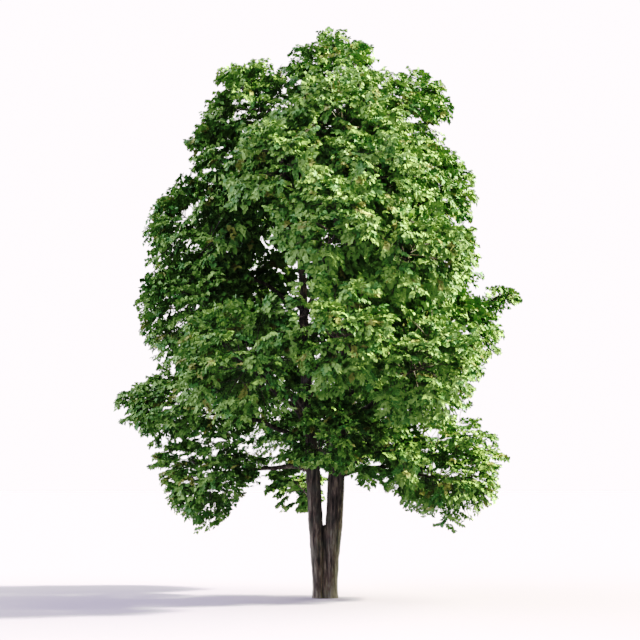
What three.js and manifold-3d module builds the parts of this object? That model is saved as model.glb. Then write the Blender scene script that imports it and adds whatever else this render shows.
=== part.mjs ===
// A linden tree of two stems from one root: forked trunk, two leaders, boughs and masses of leaves.
// Millimetres, +Z up, front towards -Y. The origin is the middle of the flat cut at ground level.
import * as THREE from "three";
import { mergeVertices } from "three/addons/utils/BufferGeometryUtils.js";
import Module from "manifold-3d";

const wasm = await Module();
wasm.setup();

// Driving dimensions: the trunk and its two stems
const GAP = 0.3; // clear space between two pieces that meet
const FORK_HEIGHT = 1000; // where the two stems part
const FLARE = 0.15; // share that the foot of a stem swells at the ground
const FLARE_HEIGHT = 90;
const FLARE_LOBES = 5;
const LOBE_DEPTH = 0.35; // share of the swelling that comes and goes round the foot
const TRUNK_SIDES = 14;
const LEADER_SIDES = 10;
const CROTCH = { x: 2, y: 0, footRadius: 100, topRadius: 34, sides: 8 };

// Stations of the two stems: height, middle of the section and its radius
const STEMS = {
  left: [
    { z: 0, x: -76, y: -12, r: 84 },
    { z: 50, x: -74, y: -12, r: 84 },
    { z: 160, x: -72, y: -12, r: 84 },
    { z: 540, x: -92, y: -14, r: 96 },
    { z: FORK_HEIGHT, x: -121, y: -20, r: 96 },
    { z: 1660, x: -152, y: -30, r: 98 },
    { z: 2500, x: -225, y: -45, r: 82 },
    { z: 3600, x: -282, y: -60, r: 66 },
    { z: 4500, x: -309, y: -60, r: 52 },
    { z: 5400, x: -420, y: -80, r: 38 },
    { z: 6350, x: -620, y: -100, r: 22 },
  ],
  right: [
    { z: 0, x: 80, y: 12, r: 92 },
    { z: 50, x: 80, y: 12, r: 91 },
    { z: 160, x: 82, y: 12, r: 89 },
    { z: 540, x: 96, y: 14, r: 100 },
    { z: FORK_HEIGHT, x: 132, y: 20, r: 118 },
    { z: 1660, x: 161, y: 30, r: 116 },
    { z: 2500, x: 235, y: 45, r: 96 },
    { z: 3600, x: 330, y: 60, r: 76 },
    { z: 4500, x: 380, y: 60, r: 58 },
    { z: 5400, x: 330, y: 40, r: 42 },
    { z: 6700, x: 200, y: 10, r: 22 },
  ],
};

// Driving dimensions: boughs and the masses of leaves
const BOUGH_SHARE = 0.048; // radius of a bough at its root for the size of the mass it carries
const BOUGH_TO_LEADER = 0.6; // and at most this share of the leader's radius there
const BOUGH_TAPER = 0.55;
const BOUGH_SIDES = 6;
const BOUGH_STEPS = 4;
const BOUGH_ENTERS = 0.62; // share of the mass's half width from its middle to the bough's tip
const ARCH = { low: 0.16, high: -0.08, from: 1600, to: 4600 }; // low boughs arch, high ones turn up
const STEM_OVER = 0.3; // share of the half width that a mass's stem runs past the middle
const STEM_TAPER = 0.75;
const STEM_SIDES = 3;
const STEM_STEPS = 1; // a stem is straight
const STEM_TO_LEADER = 0.85; // radius of a stem at its foot for that of the leader's tip under it
const CROWN_MIDDLE = new THREE.Vector3(0, 0, 4600);
const FULLNESS = 1.16; // masses swell this much into the crown, and not past its outline
const SPACE_MARGIN = 5; // clear space to the wall between two masses
const LIMB_MARGIN = 32; // clear space to any limb

// Shoots: a three-sided twig that widens into one leaf, which stands for a spray of real ones.
// A leaf's length is for the size of its mass, and its width and thickness are for its length.
const SHOOT_SIDES = 3;
const SHOOTS_AT = { size: 870, count: 15 }; // a mass of this size has this many shoots
const FEWEST_SHOOTS = 6;
const SHOOT_RADIUS = { root: 8, foot: 7 }; // at the root of the twig and at the foot of the leaf
const SHORTEST_TWIG = 60;
const SHARPEST_BEND = -0.1; // least cosine of the angle between a twig and its leaf
const TRIES = 20; // a shoot that doesn't fit is turned and shortened this many times
const REACH = { least: 0.94, most: 0.99, shorten: 0.985 };
const ROOTS = { first: 0.18, last: 0.95 }; // shares of the stem where shoots leave it
const LEAF = { length: 0.84, width: 1.0, thick: 0.022, widest: 0.42, shorten: 0.93 };
const LEAF_CLEAR = 6; // least space between one blade and the next
const HANG = { out: 0.8, down: 0.9, sway: 1.2 }; // a leaf points outward, downward and to a side
const STEEP = 0.3; // an aim this near to upright has no way down along the outside
const FACE = { out: 1.0, up: 0.35, chance: 0.35 }; // what a leaf's upper side turns to
const SMALLEST_DETAIL = 0.5;
const TINY = 1e-9; // two lines with less spread than this run side by side
const GOLDEN_ANGLE = Math.PI * (3 - Math.sqrt(5));

const BARK = { color: 0x4a443c, roughness: 0.9, metalness: 0 };
const LEAVES = { color: 0x4c6a2b, roughness: 0.6, metalness: 0 };

// Masses: middle, half widths, how much wider the top is than the middle, leader and height on it.
// Those with direct set grow from the leader with no bough between.
const MASSES = {
  crown_top: { at: [170, 0, 7250], half: [690, 740, 720], leader: "right", from: 6700, direct: true },
  top_left: { at: [-940, -150, 6840], half: [770, 730, 690], leader: "left", from: 6350, direct: true },
  top_front: { at: [250, -1000, 6450], half: [770, 620, 690], leader: "right", from: 5750, direct: true },
  top_back: { at: [150, 1000, 6650], half: [820, 700, 730], leader: "right", from: 6000, direct: true },
  top_right: { at: [1180, 0, 6780], half: [600, 720, 640], leader: "right", from: 5500 },
  upper_left: { at: [-1310, -100, 6180], half: [610, 790, 620], leader: "left", from: 5000 },
  upper_right: { at: [1440, -100, 5610], half: [710, 800, 680], leader: "right", from: 4800 },
  upper_front_left: { at: [-600, -1400, 5750], half: [710, 610, 610], leader: "left", from: 4550 },
  upper_front_right: { at: [720, -1400, 5600], half: [730, 610, 630], leader: "right", from: 4400 },
  upper_back_left: { at: [-750, 1500, 5850], half: [810, 710, 710], leader: "left", from: 4700 },
  upper_back_right: { at: [900, 1450, 5800], half: [810, 710, 710], leader: "right", from: 4950 },
  mid_left: { at: [-1820, -150, 5000], half: [710, 850, 730], leader: "left", from: 4000 },
  mid_right: { at: [1530, -50, 4600], half: [690, 850, 660], leader: "right", from: 3850 },
  mid_front: { at: [150, -1950, 4850], half: [810, 610, 650], leader: "left", from: 3850 },
  mid_front_right: { at: [1200, -1500, 4500], half: [730, 690, 650], leader: "right", from: 3450 },
  mid_back_left: { at: [-1450, 1550, 4600], half: [810, 760, 760], leader: "left", from: 3500 },
  mid_back_right: { at: [850, 1900, 4650], half: [910, 730, 760], leader: "right", from: 3650 },
  right_spray: { at: [2450, -100, 4110], half: [360, 220, 150], leader: "right", from: 3150 },
  lower_left: { at: [-1840, -200, 3790], half: [800, 900, 690], leader: "left", from: 2620 },
  lower_right: { at: [1700, -100, 3560], half: [780, 900, 660], leader: "right", from: 2700 },
  lower_front_left: { at: [-1050, -1750, 3030], half: [860, 730, 760], leader: "left", from: 2330 },
  lower_front: { at: [150, -2000, 3380], half: [810, 650, 690], leader: "left", from: 2950 },
  lower_front_right: { at: [1250, -1600, 3020], half: [800, 730, 740], leader: "right", from: 2250 },
  lower_back_left: { at: [-1100, 1850, 3350], half: [940, 760, 710], leader: "left", from: 2450 },
  lower_back_right: { at: [980, 1900, 3350], half: [950, 760, 710], leader: "right", from: 2450 },
  skirt_left: { at: [-1940, -150, 2600], half: [890, 850, 430], leader: "left", from: 2130 },
  low_left: { at: [-1670, -100, 1590], half: [670, 740, 770], leader: "left", from: 1740, top: 0.45 },
  low_right: { at: [1700, -100, 1690], half: [760, 800, 770], leader: "right", from: 1670, top: 0.1 },
  low_back: { at: [0, 1900, 2250], half: [1210, 710, 530], leader: "right", from: 1980 },
  inner_right: { at: [900, -500, 1930], half: [700, 630, 520], leader: "right", from: 1780, direct: true },
  low_front: { at: [50, -950, 2180], half: [640, 520, 480], leader: "left", from: 1800, direct: true },
  inner_left: { at: [-430, 600, 1450], half: [400, 390, 380], leader: "left", from: 1320, direct: true },
};

// Seeded chance: each mass has its own run of numbers between 0 and 1
const CHANCE = { factor: 16807, modulus: 2147483647, spread: 7919 };

function chanceOf(seed) {
  let state = (seed + 1) * CHANCE.spread;
  return () => {
    state = (state * CHANCE.factor) % CHANCE.modulus;
    return state / CHANCE.modulus;
  };
}

// Solids: a geometry becomes a closed solid for joins and cuts, and comes back as a geometry
function solidOf(geometry) {
  geometry.deleteAttribute("normal");
  geometry.deleteAttribute("uv");
  const merged = mergeVertices(geometry);
  const vertProperties = merged.attributes.position.array;
  const triVerts = new Uint32Array(merged.index.array);
  return new wasm.Manifold(new wasm.Mesh({ numProp: 3, vertProperties, triVerts }));
}

function geometryOf(solid) {
  const mesh = solid.getMesh();
  const geometry = new THREE.BufferGeometry();
  geometry.setAttribute("position", new THREE.BufferAttribute(mesh.vertProperties, 3));
  geometry.setIndex(new THREE.BufferAttribute(mesh.triVerts, 1));
  geometry.computeVertexNormals();
  return geometry;
}

// The body with the most volume: loose scraps and sealed hollows stay behind
function largestBody(solid) {
  const bodies = solid.decompose();
  bodies.sort((a, b) => b.volume() - a.volume());
  return bodies[0];
}

// A tube of radius 1 from height 0 to height 1, whose rings are then moved to their places
function unitTube(sides, steps) {
  return new THREE.CylinderGeometry(1, 1, 1, sides, steps).translate(0, 0.5, 0);
}

// Stems: round sections on level rings, one ring to a station
function stemGeometry(stations, sides, swell) {
  const steps = stations.length - 1;
  const geometry = unitTube(sides, steps);
  const place = geometry.attributes.position;
  for (let i = 0; i < place.count; i += 1) {
    const station = stations[Math.round(place.getY(i) * steps)];
    const across = place.getX(i);
    const deep = -place.getZ(i);
    const radius = swell(station, Math.atan2(deep, across));
    place.setXYZ(i, station.x + radius * across, station.y + radius * deep, station.z);
  }
  return geometry;
}

function footSwell(station, angle) {
  const fade = FLARE * Math.exp(-station.z / FLARE_HEIGHT);
  return station.r * (1 + fade * (1 + LOBE_DEPTH * Math.cos(FLARE_LOBES * angle)));
}

function trunkSolid() {
  const below = (stations) => stations.filter((station) => station.z <= FORK_HEIGHT);
  const stems = Object.values(STEMS).map((s) => solidOf(stemGeometry(below(s), TRUNK_SIDES, footSwell)));
  const crotch = new THREE.CylinderGeometry(CROTCH.topRadius, CROTCH.footRadius, FORK_HEIGHT, CROTCH.sides);
  crotch.rotateX(Math.PI / 2);
  crotch.translate(CROTCH.x, CROTCH.y, FORK_HEIGHT / 2);
  return wasm.Manifold.union([...stems, solidOf(crotch)]);
}

function leaderSolid(stations, grow) {
  const above = stations.filter((station) => station.z >= FORK_HEIGHT).map((station) => ({ ...station }));
  above[0].z += GAP;
  above.at(-1).z += grow;
  return solidOf(stemGeometry(above, LEADER_SIDES, (station) => station.r + grow));
}

function stationAt(stations, z) {
  const next = Math.max(1, stations.findIndex((station) => station.z >= z));
  const [a, b] = [stations[next - 1], stations[next]];
  const share = (z - a.z) / (b.z - a.z);
  const between = (key) => THREE.MathUtils.lerp(a[key], b[key], share);
  return { point: new THREE.Vector3(between("x"), between("y"), z), radius: between("r") };
}

// Limbs: a round section that tapers along a curve
function limbGeometry(curve, radius, sides, steps) {
  const geometry = unitTube(sides, steps);
  const frames = curve.computeFrenetFrames(steps);
  const place = geometry.attributes.position;
  for (let i = 0; i < place.count; i += 1) {
    const along = place.getY(i);
    const ring = Math.round(along * steps);
    const size = THREE.MathUtils.lerp(radius.root, radius.tip, along);
    const point = curve.getPointAt(along);
    point.addScaledVector(frames.normals[ring], size * place.getX(i));
    point.addScaledVector(frames.binormals[ring], -size * place.getZ(i));
    place.setXYZ(i, point.x, point.y, point.z);
  }
  return geometry;
}

function limbSolid(limb, sides, steps) {
  return solidOf(limbGeometry(limb.curve, limb.radius, sides, steps));
}

// A mass's own space is a rounded body, cut by a flat wall to each of its neighbours
function surfacePoint(mass, aim, reach) {
  const width = 1 + mass.top * aim.z * reach;
  return new THREE.Vector3(
    mass.middle.x + mass.half.x * aim.x * reach * width,
    mass.middle.y + mass.half.y * aim.y * reach * width,
    mass.middle.z + mass.half.z * aim.z * reach,
  );
}

function inBody(mass, point) {
  const dz = (point.z - mass.middle.z) / mass.half.z;
  const width = 1 + mass.top * dz;
  const dx = (point.x - mass.middle.x) / (mass.half.x * width);
  const dy = (point.y - mass.middle.y) / (mass.half.y * width);
  return dx * dx + dy * dy + dz * dz <= 1;
}

function wallDistance(mass, other, point) {
  const away = point.distanceToSquared(other.middle) - other.size ** 2;
  const near = point.distanceToSquared(mass.middle) - mass.size ** 2;
  return (away - near) / (2 * mass.middle.distanceTo(other.middle));
}

function inSpace(mass, point) {
  if (!inBody(mass, point)) return false;
  return masses.every((other) => other === mass || wallDistance(mass, other, point) > SPACE_MARGIN);
}

// Least distance between two straight lines of limited length
function lineDistance(a, b, c, d) {
  const u = b.clone().sub(a);
  const v = d.clone().sub(c);
  const w = a.clone().sub(c);
  const [uu, uv, vv, uw, vw] = [u.dot(u), u.dot(v), v.dot(v), u.dot(w), v.dot(w)];
  const clamp = (value) => THREE.MathUtils.clamp(value, 0, 1);
  const spread = uu * vv - uv * uv;
  let s = spread > TINY ? clamp((uv * vw - vv * uw) / spread) : 0;
  const t = clamp((uv * s + vw) / vv);
  s = clamp((uv * t - uw) / uu);
  return w.addScaledVector(u, s).addScaledVector(v, -t).length();
}

function clearOfLimbs(mass, from, to, radius) {
  return lines.every((line) => {
    if (line.owner === mass) return true;
    return lineDistance(from, to, line.from, line.to) > line.radius + radius + LIMB_MARGIN;
  });
}

// Aims of the shoots: one on from the stem, the rest spread evenly over the body.
// They leave the stem in the order in which they lie along it, evenly from its last to its first root.
function aimsOf(mass, chance) {
  const way = mass.stem.curve.getTangentAt(1);
  const plans = [{ aim: way.clone().divide(mass.half).normalize(), onward: true }];
  const turn = chance() * 2 * Math.PI;
  for (let i = 0; i < mass.shoots; i += 1) {
    const rise = 1 - (2 * i + 1) / mass.shoots;
    const level = Math.sqrt(1 - rise * rise);
    const around = turn + i * GOLDEN_ANGLE;
    plans.push({ aim: new THREE.Vector3(level * Math.cos(around), level * Math.sin(around), rise) });
  }
  const forward = (plan) => plan.aim.clone().multiply(mass.half).dot(way);
  plans.sort((a, b) => forward(b) - forward(a));
  plans.forEach((plan, i) => {
    const share = THREE.MathUtils.lerp(ROOTS.last, ROOTS.first, i / (plans.length - 1));
    plan.root = mass.stem.curve.getPointAt(share);
    plan.reach = THREE.MathUtils.lerp(REACH.least, REACH.most, chance());
  });
  return plans;
}

function leafFace(aim, heading, chance) {
  const face = aim.clone().multiplyScalar(FACE.out);
  face.z += FACE.up;
  for (const axis of ["x", "y", "z"]) face[axis] += FACE.chance * (2 * chance() - 1);
  return face.addScaledVector(heading, -face.dot(heading)).normalize();
}

// The way a leaf points: outward, and more along the outside of its mass the higher it grows there
function leafHeading(plan, chance) {
  if (plan.onward) return plan.aim.clone();
  const along = new THREE.Vector3(0, 0, -1).addScaledVector(plan.aim, plan.aim.z);
  if (along.length() < STEEP) along.set(chance() - 0.5, chance() - 0.5, 0);
  along.normalize().applyAxisAngle(plan.aim, HANG.sway * (2 * chance() - 1));
  const down = (HANG.down * (1 + plan.aim.z)) / 2;
  return along.multiplyScalar(down).addScaledVector(plan.aim, HANG.out).normalize();
}

// A shoot whose leaf ends at its aim, or none where its twig would be too short or bend back
function makeShoot(mass, plan, attempt, chance) {
  const reach = plan.reach * REACH.shorten ** attempt;
  const heading = leafHeading(plan, chance);
  const face = leafFace(plan.aim, heading, chance);
  const tip = surfacePoint(mass, plan.aim, reach);
  const most = plan.onward ? plan.root.distanceTo(tip) - SHORTEST_TWIG : mass.leaf;
  const length = Math.min(mass.leaf, most) * LEAF.shorten ** attempt;
  const foot = tip.clone().addScaledVector(heading, -length);
  const twig = foot.clone().sub(plan.root);
  const long = twig.length();
  twig.normalize();
  if (long < SHORTEST_TWIG || twig.dot(heading) < SHARPEST_BEND) return null;
  const side = face.clone().cross(heading);
  const wide = (length * LEAF.width) / 2;
  const broad = foot.clone().addScaledVector(heading, length * LEAF.widest);
  const edge = (sign) => broad.clone().addScaledVector(side, sign * wide);
  const corners = [foot, edge(1), tip, edge(-1)];
  return { root: plan.root, twig, foot, heading, face, side, length, wide, broad, tip, corners };
}

// Whether a straight line goes through a shoot's leaf, or nearly
function pierces(shoot, from, to) {
  const a = from.clone().sub(shoot.foot).dot(shoot.face);
  const b = to.clone().sub(shoot.foot).dot(shoot.face);
  const clear = shoot.length * LEAF.thick + LEAF_CLEAR;
  if (Math.min(a, b) > clear || Math.max(a, b) < -clear) return false;
  const share = a === b ? 0.5 : THREE.MathUtils.clamp(a / (a - b), 0, 1);
  const hit = from.clone().lerp(to, share).sub(shoot.foot);
  const along = hit.dot(shoot.heading) / shoot.length;
  const across = Math.abs(hit.dot(shoot.side)) - LEAF_CLEAR;
  const room = along < LEAF.widest ? along / LEAF.widest : (1 - along) / (1 - LEAF.widest);
  return across < shoot.wide * room;
}

function shootEdges(shoot) {
  const [foot, left, tip, right] = shoot.corners;
  return [[shoot.root, foot], [foot, left], [left, tip], [tip, right], [right, foot]];
}

function shootsCross(a, b) {
  const through = (shoot, other) => shootEdges(shoot).some(([from, to]) => pierces(other, from, to));
  return through(a, b) || through(b, a);
}

// A shoot fits where it keeps to its mass's space, and clear of all limbs and other shoots
function shootFits(mass, shoot, shoots) {
  if (!shoot.corners.every((corner) => inSpace(mass, corner))) return false;
  if (shoots.some((other) => shootsCross(shoot, other))) return false;
  if (lines.some((line) => pierces(shoot, line.from, line.to))) return false;
  return shootEdges(shoot).every(([from, to]) => clearOfLimbs(mass, from, to, SHOOT_RADIUS.root));
}

// The shoots of a mass: each is tried a few times, shorter each time, and skipped if none fits
function shootsOf(mass) {
  const chance = chanceOf(mass.seed);
  const shoots = [];
  for (const plan of aimsOf(mass, chance)) {
    for (let attempt = 0; attempt < TRIES; attempt += 1) {
      const shoot = makeShoot(mass, plan, attempt, chance);
      if (shoot && shootFits(mass, shoot, shoots)) {
        shoots.push(shoot);
        break;
      }
    }
  }
  return shoots;
}

// One closed body: rings at the root, the foot of the leaf and its widest place, then the tip
function shootGeometry(shoot) {
  const { root, twig, foot, broad, tip, face, side, wide, length } = shoot;
  const across = face.clone().cross(twig).normalize();
  const over = twig.clone().cross(across);
  const rings = [
    { at: root, across, over, wide: SHOOT_RADIUS.root, deep: SHOOT_RADIUS.root },
    { at: foot, across, over, wide: SHOOT_RADIUS.foot, deep: SHOOT_RADIUS.foot },
    { at: broad, across: side, over: face, wide, deep: length * LEAF.thick },
    { at: tip, across: side, over: face, wide: 0, deep: 0 },
  ];
  const steps = rings.length - 1;
  const geometry = new THREE.ConeGeometry(1, 1, SHOOT_SIDES, steps).translate(0, 0.5, 0);
  const place = geometry.attributes.position;
  for (let i = 0; i < place.count; i += 1) {
    const ring = rings[Math.round(place.getY(i) * steps)];
    const point = ring.at.clone();
    point.addScaledVector(ring.across, ring.wide * Math.sign(Math.round(place.getX(i) * steps)));
    if (place.getZ(i) > 0) point.addScaledVector(ring.over, -ring.deep);
    place.setXYZ(i, point.x, point.y, point.z);
  }
  return geometry;
}

// A mass: one stem and its shoots, with their roots sunk in, fused to one body
function massSolid(mass) {
  const stem = limbSolid(mass.stem, STEM_SIDES, STEM_STEPS);
  const shoots = shootsOf(mass).map((shoot) => solidOf(shootGeometry(shoot)));
  const joined = wasm.Manifold.union([stem, ...shoots]).subtract(mass.cutter);
  return largestBody(joined.simplify(SMALLEST_DETAIL));
}

function widthAlong(half, way) {
  return 1 / Math.hypot(way.x / half.x, way.y / half.y, way.z / half.z);
}

// Plan of the crown: curves and radii of every limb, worked out before any leaf is placed
function planMass([name, row], seed) {
  const half = new THREE.Vector3(...row.half);
  const middle = new THREE.Vector3(...row.at);
  const outward = middle.clone().sub(CROWN_MIDDLE).normalize();
  middle.addScaledVector(outward, (1 - FULLNESS) * widthAlong(half, outward));
  half.multiplyScalar(FULLNESS);
  const size = Math.cbrt(half.x * half.y * half.z);
  const shoots = Math.max(FEWEST_SHOOTS, Math.round(SHOOTS_AT.count * (size / SHOOTS_AT.size) ** 2));
  const mass = { name, leader: row.leader, seed, middle, half, size, shoots };
  mass.top = row.top ?? 0;
  mass.leaf = LEAF.length * size;
  const start = stationAt(STEMS[row.leader], row.from);
  const inward = middle.clone().sub(start.point).normalize();
  const width = widthAlong(half, inward);
  const root = Math.min(BOUGH_SHARE * size, BOUGH_TO_LEADER * start.radius);
  const end = root * BOUGH_TAPER;
  if (row.direct) {
    const head = middle.clone().addScaledVector(inward, STEM_OVER * width);
    const onTip = row.from === STEMS[row.leader].at(-1).z;
    mass.stem = stemPlan(start.point, head, onTip ? STEM_TO_LEADER * start.radius : end);
    return mass;
  }
  const high = THREE.MathUtils.clamp((middle.z - ARCH.from) / (ARCH.to - ARCH.from), 0, 1);
  const tip = middle.clone().addScaledVector(inward, -BOUGH_ENTERS * width);
  const bend = start.point.clone().lerp(tip, 0.5);
  bend.z += THREE.MathUtils.lerp(ARCH.low, ARCH.high, high) * start.point.distanceTo(tip);
  const curve = new THREE.QuadraticBezierCurve3(start.point, bend, tip);
  mass.bough = { curve, radius: { root, tip: end } };
  const heading = curve.getTangentAt(1);
  const foot = tip.clone().addScaledVector(heading, GAP);
  const head = tip.clone().addScaledVector(heading, (BOUGH_ENTERS + STEM_OVER) * width);
  mass.stem = stemPlan(foot, head, end);
  return mass;
}

function stemPlan(foot, head, radius) {
  return { curve: new THREE.LineCurve3(foot, head), radius: { root: radius, tip: radius * STEM_TAPER } };
}

// Straight lines along every limb, for keeping clear of it
function linesOf(points, radii, owner) {
  return points.slice(1).map((to, i) => ({ from: points[i], to, radius: radii[i], owner }));
}

function limbLines(limb, owner) {
  const points = limb.curve.getSpacedPoints(BOUGH_STEPS);
  const { root, tip } = limb.radius;
  const radii = points.map((_, i) => THREE.MathUtils.lerp(root, tip, i / BOUGH_STEPS));
  return linesOf(points, radii, owner);
}

const masses = Object.entries(MASSES).map(planMass);
const lines = [
  ...Object.values(STEMS).flatMap((stations) => {
    const points = stations.map((station) => new THREE.Vector3(station.x, station.y, station.z));
    return linesOf(points, stations.map((station) => station.r), null);
  }),
  ...masses.flatMap((mass) => limbLines(mass.stem, mass)),
  ...masses.filter((mass) => mass.bough).flatMap((mass) => limbLines(mass.bough, null)),
];

// Assembly: one named mesh to each piece
const tree = new THREE.Group();

function addPiece(name, solid, finish) {
  const piece = new THREE.Mesh(geometryOf(solid), new THREE.MeshStandardMaterial(finish));
  piece.name = name;
  tree.add(piece);
}

addPiece("trunk", trunkSolid(), BARK);
const grown = {};
for (const [side, stations] of Object.entries(STEMS)) {
  addPiece(`${side}_leader`, leaderSolid(stations, 0), BARK);
  grown[side] = leaderSolid(stations, GAP);
}
for (const mass of masses) {
  mass.cutter = grown[mass.leader];
  if (mass.bough) {
    const bough = limbSolid(mass.bough, BOUGH_SIDES, BOUGH_STEPS).subtract(mass.cutter);
    addPiece(`${mass.name}_bough`, largestBody(bough), BARK);
  }
  addPiece(mass.name, massSolid(mass), LEAVES);
}

export default tree;
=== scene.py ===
# %% [markdown]
# A linden tree in full leaf
#
# The solids hold the tree's plan: a forked trunk, two leaders, boughs, and masses of large leaves that
# each stand for a spray. This lesson grows the real surface on that plan: bark with its fissures,
# shoots, side shoots and twigs, and over two hundred thousand heart-shaped leaves. The growth rule of the
# solids is written again here, with the same sizes and the same seeded chance, and is carried further.

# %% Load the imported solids
import math

import bpy
import numpy as np
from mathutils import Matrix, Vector


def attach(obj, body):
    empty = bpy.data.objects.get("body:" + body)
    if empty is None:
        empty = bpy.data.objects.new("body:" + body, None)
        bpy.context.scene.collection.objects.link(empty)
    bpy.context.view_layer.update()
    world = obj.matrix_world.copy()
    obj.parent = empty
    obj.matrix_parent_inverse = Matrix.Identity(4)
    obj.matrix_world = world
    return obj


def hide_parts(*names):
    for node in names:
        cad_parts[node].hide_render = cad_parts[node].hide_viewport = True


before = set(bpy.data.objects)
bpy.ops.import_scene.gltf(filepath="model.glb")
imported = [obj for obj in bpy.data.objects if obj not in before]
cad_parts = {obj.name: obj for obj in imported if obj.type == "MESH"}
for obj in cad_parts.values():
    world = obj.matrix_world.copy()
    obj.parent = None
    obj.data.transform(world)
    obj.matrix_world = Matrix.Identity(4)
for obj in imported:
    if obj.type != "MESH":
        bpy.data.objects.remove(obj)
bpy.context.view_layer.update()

MM = 0.001

# %% [markdown]
# A few helpers come first. Colours are written as the sRGB hex values that an eye or a colour picker
# gives, and Blender's sockets want linear light, so one function turns one into the other. Another adds
# a node, sets its values and links its inputs in one call. The rest start, end and apply a material.

# %% Colour and material helpers
MID_GREY = 0x808080


def linear(hex_value):
    """An sRGB hex colour as linear red, green, blue and alpha."""
    srgb = np.array([hex_value >> 16, hex_value >> 8 & 255, hex_value & 255]) / 255
    light = np.where(srgb <= 0.04045, srgb / 12.92, ((srgb + 0.055) / 1.055) ** 2.4)
    return (*light.tolist(), 1.0)


def add_node(tree, kind, inputs=None, **settings):
    """A new node. An input is a value, or another node's output socket to link."""
    node = tree.nodes.new(kind)
    for name, value in settings.items():
        setattr(node, name, value)
    for name, value in (inputs or {}).items():
        if isinstance(value, bpy.types.NodeSocket):
            tree.links.new(value, node.inputs[name])
        else:
            node.inputs[name].default_value = value
    return node


def new_material(name):
    """A material with an empty node tree, and that tree."""
    material = bpy.data.materials.new(name)
    material.use_nodes = True
    material.node_tree.nodes.clear()
    return material, material.node_tree


def finish_material(tree, shader):
    """Links a shader to the material's surface."""
    add_node(tree, "ShaderNodeOutputMaterial", {"Surface": shader.outputs[0]})


def put_on(piece, material):
    """Gives a piece one material."""
    piece.data.materials.clear()
    piece.data.materials.append(material)


print("mid grey in linear light:", round(linear(MID_GREY)[0], 3))

# %% [markdown]
# The camera stands 20 m in front of the tree at eye height and looks up a little, so the stems and the
# top of the crown converge as they do to a person on the ground. The lens is worked out from the angle
# that the tree fills: 8 m of tree in 567 of the picture's 640 pixels.

# %% Camera
PICTURE = 640
FOCAL_PIXELS = 1436.3
SENSOR = 36.0
CAMERA_AT = Vector((-0.063, -20.0, 1.65))
CAMERA_TILT = math.radians(6.238)
CAMERA_SEES = 500.0

camera_data = bpy.data.cameras.new("camera")
camera_data.sensor_width = SENSOR
camera_data.lens = SENSOR * FOCAL_PIXELS / PICTURE
camera_data.clip_end = CAMERA_SEES
camera = bpy.data.objects.new("camera", camera_data)
camera.location = CAMERA_AT
camera.rotation_euler = (math.pi / 2 + CAMERA_TILT, 0, 0)
bpy.context.scene.collection.objects.link(camera)
bpy.context.scene.camera = camera
print("lens:", round(camera_data.lens, 1), "mm")

# %% [markdown]
# The stage is a wide pale floor, painted matt, so a plain diffuse finish is enough. So bright a floor
# would light the leaves strongly from below. It is therefore hidden from the rays that gather light, and
# the sky gives that glow instead, where it can be measured out.

# %% Floor
FLOOR_SIZE = 300.0
FLOOR_PAINT = 0x8C8493

bpy.ops.object.select_all(action="DESELECT")
bpy.ops.mesh.primitive_plane_add(size=FLOOR_SIZE)
floor = bpy.context.object
floor.name = "floor"
material, tree = new_material("pale studio floor")
shader = add_node(tree, "ShaderNodeBsdfDiffuse", {"Color": linear(FLOOR_PAINT), "Roughness": 0.0})
finish_material(tree, shader)
put_on(floor, material)
floor.visible_diffuse = False
floor.visible_glossy = False
print("floor:", FLOOR_SIZE, "m wide")

# %% [markdown]
# Two lamps shine from the right and a little from behind: a sun that draws the shadows, and a wide soft
# box that rounds them off. Both are of Blender's sun kind, whose rays come from one side however large
# the object is. Spread, turn and height are in degrees, and a wider spread makes a softer shadow.

# %% Lamps
LAMPS = {
    "sun": {"power": 26.5, "spread": 5, "turn": -5, "height": 34},
    "soft_box": {"power": 15.5, "spread": 80, "turn": -20, "height": 32},
}
LAMP_COLOUR = 0xF5F8D8

for name, setting in LAMPS.items():
    lamp_data = bpy.data.lights.new(name, "SUN")
    lamp_data.energy = setting["power"]
    lamp_data.angle = math.radians(setting["spread"])
    lamp_data.color = linear(LAMP_COLOUR)[:3]
    lamp = bpy.data.objects.new(name, lamp_data)
    away = math.radians(90 - setting["height"])
    lamp.rotation_euler = (0, away, -math.radians(setting["turn"]))
    bpy.context.scene.collection.objects.link(lamp)
print("lamps:", list(LAMPS))

# %% [markdown]
# The sky fills the side away from the lamps: a broad bluish glow from the left, strongest where a ray
# looks straight at it, and a weak glow from below that stands for the light a floor throws back. Rays
# from the camera see a sky of their own that is as pale as the floor, so that no horizon shows.

# %% Sky
WHITE = 2.0
SKY_FILL = {"low": 0.10, "side": 7.2, "floor": 0.8}
FILL_FROM = (-0.93, 0.08, 0.36)
FILL_COLOUR = 0xE4E6FF
SKY_COLOUR = 0xFFF8FC

world = bpy.data.worlds.new("pale sky")
world.use_nodes = True
tree = world.node_tree
tree.nodes.clear()
way = add_node(tree, "ShaderNodeTexCoord").outputs["Generated"]
height = add_node(tree, "ShaderNodeSeparateXYZ", {"Vector": way}).outputs["Z"]
below = add_node(tree, "ShaderNodeMath", {0: height, 1: 0.0}, operation="LESS_THAN")
bounce = add_node(
    tree,
    "ShaderNodeMath",
    {0: below.outputs[0], 1: SKY_FILL["floor"], 2: SKY_FILL["low"]},
    operation="MULTIPLY_ADD",
)
facing = add_node(tree, "ShaderNodeVectorMath", {0: way, 1: FILL_FROM}, operation="DOT_PRODUCT")
facing = add_node(
    tree, "ShaderNodeMath", {0: facing.outputs["Value"], 1: 0.0}, operation="MAXIMUM"
).outputs[0]
dome = add_node(tree, "ShaderNodeMath", {0: facing, 1: facing}, operation="MULTIPLY")
dome = add_node(
    tree,
    "ShaderNodeMath",
    {0: dome.outputs[0], 1: SKY_FILL["side"], 2: bounce.outputs[0]},
    operation="MULTIPLY_ADD",
)
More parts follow.
